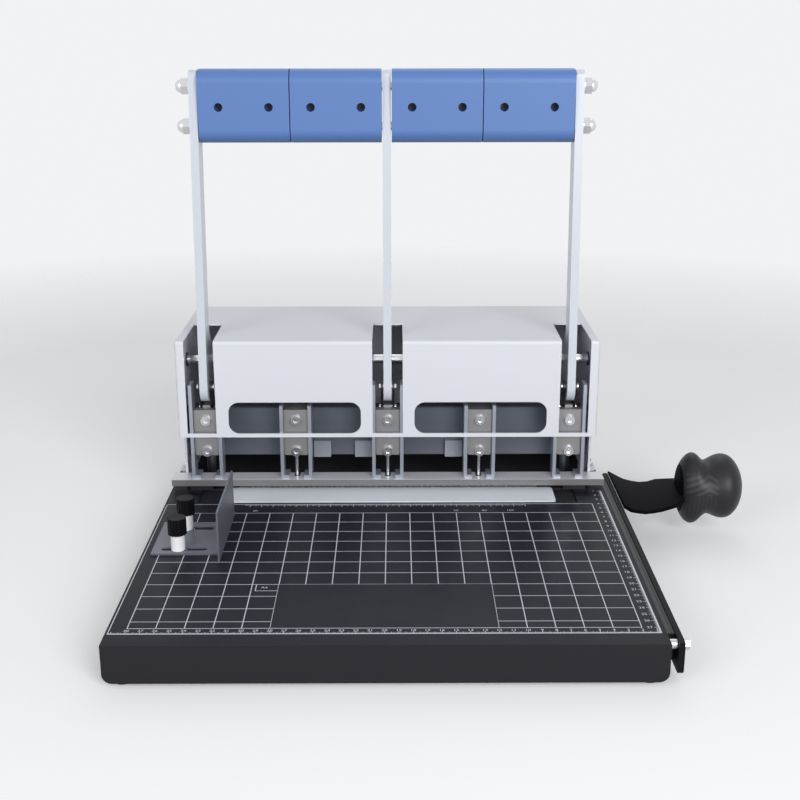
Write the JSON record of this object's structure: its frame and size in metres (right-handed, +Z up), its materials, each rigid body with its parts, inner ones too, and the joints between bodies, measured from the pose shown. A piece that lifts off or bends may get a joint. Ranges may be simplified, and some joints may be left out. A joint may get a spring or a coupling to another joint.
{
  "type": "paper hole punch",
  "caption": "Desk hole punch with a wide white lever frame, blue grips, a row of sliding punch heads, a gridded bed and a side trimmer arm.",
  "frame": {"origin": "floor level under the middle of the base plate", "axes": "+X to the right along the punch heads, +Y to the rear, +Z up"},
  "size_m": [0.508, 0.45, 0.3992],
  "materials": {
    "base_paint": "satin dark grey",
    "rubber": "matt black",
    "panel_print": "black sheet with printed grid",
    "strip_plastic": "smooth white",
    "die_steel": "ground",
    "bar_steel": "ground",
    "zinc": "zinc plated",
    "press_steel": "plain",
    "block_steel": "brushed",
    "screw_black": "black oxide",
    "bright_steel": "polished",
    "spring_steel": "drawn wire",
    "link_steel": "dark",
    "white_paint": "gloss white",
    "blue_plastic": "satin blue",
    "blade_steel": "ground edge",
    "arm_paint": "satin dark",
    "black_plastic": "gloss black",
    "guide_steel": "plain",
    "sleeve_white": "white"
  },
  "bodies": {
    "base": {"base_shell": "base_paint", "rubber_feet": "rubber", "grid_panel": "panel_print", "backing_strip": "strip_plastic", "die_plate": "die_steel", "stripper_bar": "bar_steel", "bar_spacers": "bar_steel", "guide_plates_1": "zinc", "guide_plates_2": "zinc", "guide_plates_3": "zinc", "guide_plates_4": "zinc", "guide_plates_5": "zinc", "guide_posts": "zinc", "return_springs": "spring_steel", "left_side_frame": "white_paint", "right_side_frame": "white_paint", "frame_screws": "bright_steel", "rear_panel": "white_paint", "cover": "white_paint", "cover_screws": "bright_steel", "main_shaft": "bright_steel", "shaft_clips": "spring_steel", "fixed_cutting_edge": "blade_steel", "trimmer_pivot_bolt": "bright_steel", "trimmer_pivot_spacer": "bright_steel", "trimmer_pivot_nut": "bright_steel", "clamp_studs": "bright_steel", "clamp_sleeves": "sleeve_white"},
    "press": {"press_bar": "press_steel", "slide_block_1": "block_steel", "slide_block_2": "block_steel", "slide_block_3": "block_steel", "slide_block_4": "block_steel", "slide_block_5": "block_steel", "block_screws": "screw_black", "press_bolts": "screw_black", "punch_pin_2": "bright_steel", "punch_pin_3": "bright_steel", "punch_pin_4": "bright_steel", "clamp_blocks": "zinc"},
    "lever": {"left_arm": "white_paint", "middle_arm": "white_paint", "right_arm": "white_paint", "grip_1": "blue_plastic", "grip_2": "blue_plastic", "grip_3": "blue_plastic", "grip_4": "blue_plastic", "grip_screws": "screw_black", "tie_rods": "bright_steel", "rod_washers": "bright_steel", "acorn_nuts": "bright_steel", "toe_pins": "bright_steel"},
    "links": {"link_plates": "link_steel", "link_pins": "bright_steel"},
    "trimmer": {"cutting_blade": "blade_steel", "blade_arm": "arm_paint", "trimmer_handle": "black_plastic"},
    "side_guide": {"side_guide": "guide_steel"},
    "front_knob": {"front_clamp_knob": "black_plastic"},
    "rear_knob": {"rear_clamp_knob": "black_plastic"}
  },
  "joints": [
    {"name": "lever_pivot", "type": "hinge", "parent": "base", "child": "lever", "pos_m": [0, 0.102, 0.1452], "axis": [1, 0, 0], "range_deg": [0, 38], "stiffness_Nm_per_rad": 6, "springref_deg": -8.59},
    {"name": "press_slide", "type": "slide", "parent": "base", "child": "press", "axis": [0, 0, -1], "range_m": [0, 0.0122], "deforming": ["return_springs"]},
    {"name": "link_pivot", "type": "hinge", "parent": "lever", "child": "links", "pos_m": [0, 0.076, 0.1266], "axis": [1, 0, 0], "range_deg": [-82, 0]},
    {"name": "trimmer_pivot", "type": "hinge", "parent": "base", "child": "trimmer", "pos_m": [0.195, -0.217, 0.0292], "axis": [1, 0, 0], "range_deg": [0, 65]},
    {"name": "guide_slide", "type": "slide", "parent": "base", "child": "side_guide", "axis": [1, 0, 0], "range_m": [-0.0195, 0.01]},
    {"name": "front_knob_turn", "type": "hinge", "parent": "base", "child": "front_knob", "pos_m": [-0.167, -0.068, 0.055], "axis": [0, 0, 1], "continuous": true},
    {"name": "rear_knob_turn", "type": "hinge", "parent": "base", "child": "rear_knob", "pos_m": [-0.167, -0.026, 0.055], "axis": [0, 0, 1], "continuous": true}
  ],
  "couplings": [
    {"joint": "press_slide", "follows": "lever_pivot", "m_per_rad": 0.018184},
    {"joint": "link_pivot", "follows": "lever_pivot", "ratio": -2.1389}
  ]
}
